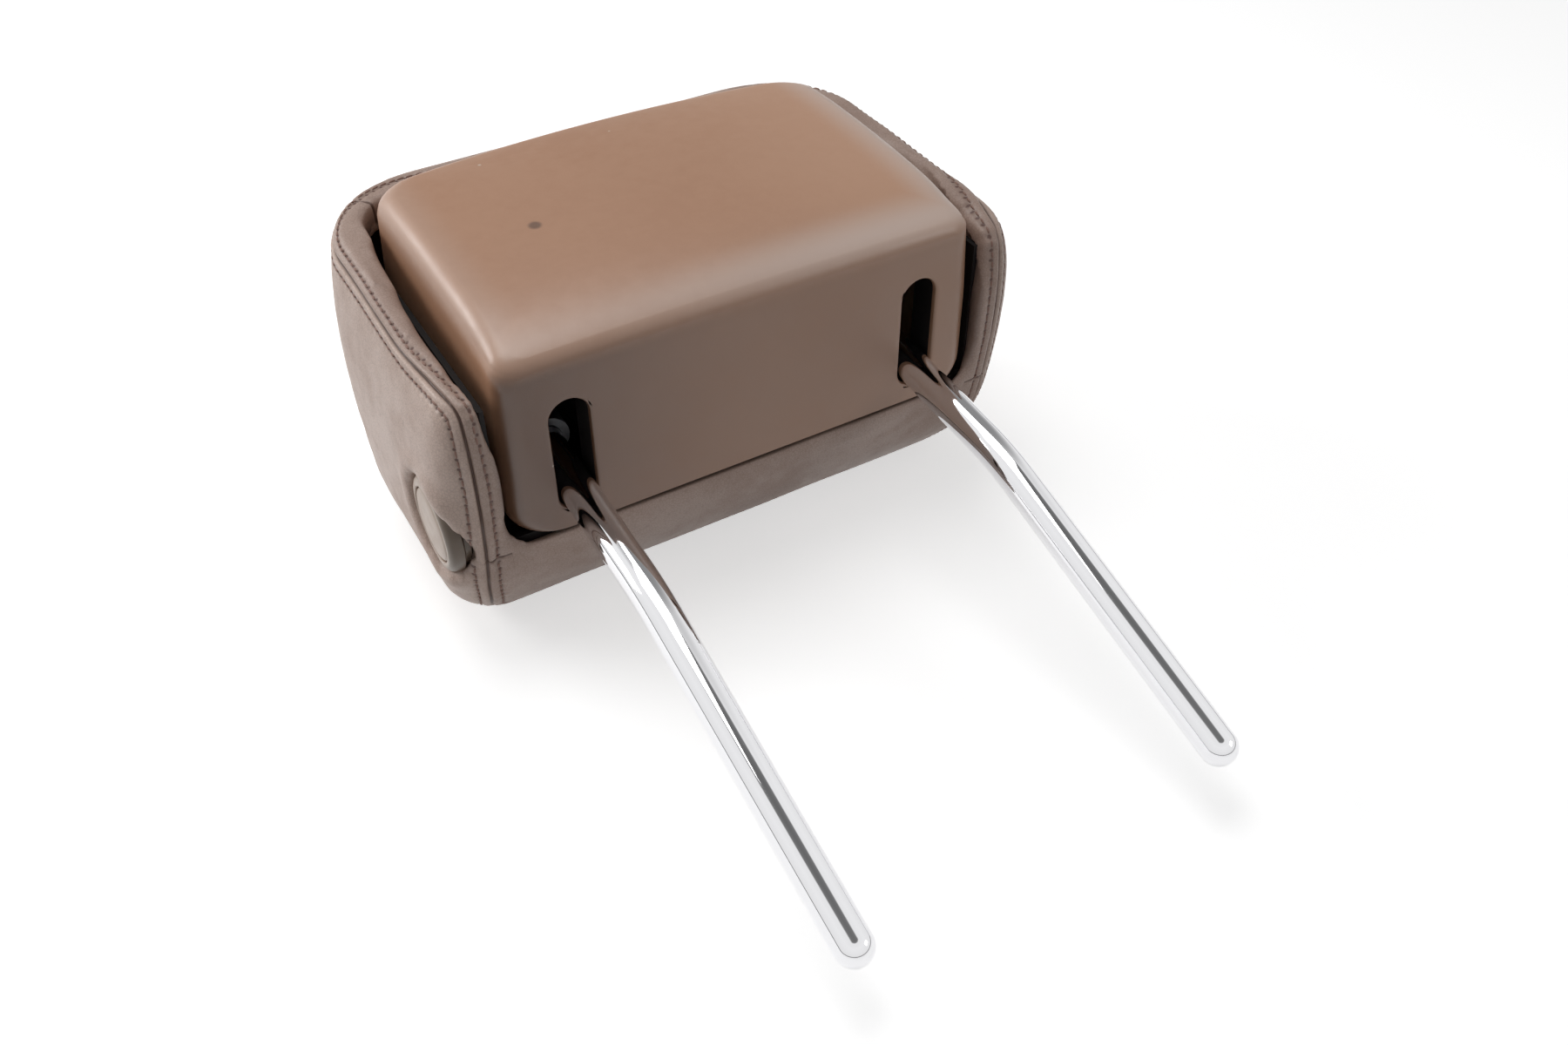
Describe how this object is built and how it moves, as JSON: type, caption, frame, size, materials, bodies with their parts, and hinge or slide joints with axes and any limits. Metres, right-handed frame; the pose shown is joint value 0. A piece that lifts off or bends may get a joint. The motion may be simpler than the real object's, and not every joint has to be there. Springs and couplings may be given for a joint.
{
  "type": "car headrest",
  "caption": "Padded leather car headrest on two bent chromed posts, with a moulded rear cover and a release button that lets the head slide fore and aft.",
  "frame": {"origin": "middle of the bounding box at its base, where the front face rests", "axes": "+X across the head to its right side, +Y from the post ends towards the head's top, +Z from the front face towards the rear cover"},
  "size_m": [0.2536, 0.3514, 0.1459],
  "materials": {
    "leather": "fine grain, slightly worn",
    "foam": "moulded foam",
    "cover_plastic": "fine moulded grain, satin",
    "black_plastic": "moulded",
    "chrome": "polished plate",
    "steel": "zinc plated"
  },
  "bodies": {
    "head": {"foam_core": "foam", "main_panel": "leather", "rear_band": "leather", "bottom_panel": "leather", "inner_pan": "black_plastic", "rear_cover": "cover_plastic", "slot_liner_left": "black_plastic", "slot_liner_right": "black_plastic", "rail_left": "steel", "rail_right": "steel", "rail_bridge": "steel", "rail_nut_left": "steel", "rail_nut_right": "steel", "cover_screw_1": "steel", "cover_screw_2": "steel", "cover_screw_3": "steel", "cover_screw_4": "steel", "button_bezel": "cover_plastic", "stem_bush": "black_plastic", "slider_guide": "steel"},
    "post_carriage": {"left_post": "chrome", "right_post": "chrome", "cross_tube": "chrome", "carriage_block": "black_plastic", "carriage_cap": "black_plastic", "cap_screw_1": "steel", "cap_screw_2": "steel", "cap_screw_3": "steel", "cap_screw_4": "steel", "rail_bush_left": "black_plastic", "rail_bush_right": "black_plastic", "lock_rack": "steel", "rack_set_screw": "steel"},
    "release_button": {"release_button": "cover_plastic", "lock_slider": "steel", "lock_pin": "steel", "return_spring": "steel"}
  },
  "joints": [
    {"name": "head_slide", "type": "slide", "parent": "head", "child": "post_carriage", "axis": [0, 0, 1], "range_m": [0, 0.034]},
    {"name": "button_press", "type": "slide", "parent": "head", "child": "release_button", "axis": [1, 0, 0], "range_m": [0, 0.0035], "stiffness_N_per_m": 600, "springref_m": -0.002, "deforming": ["return_spring"]}
  ]
}
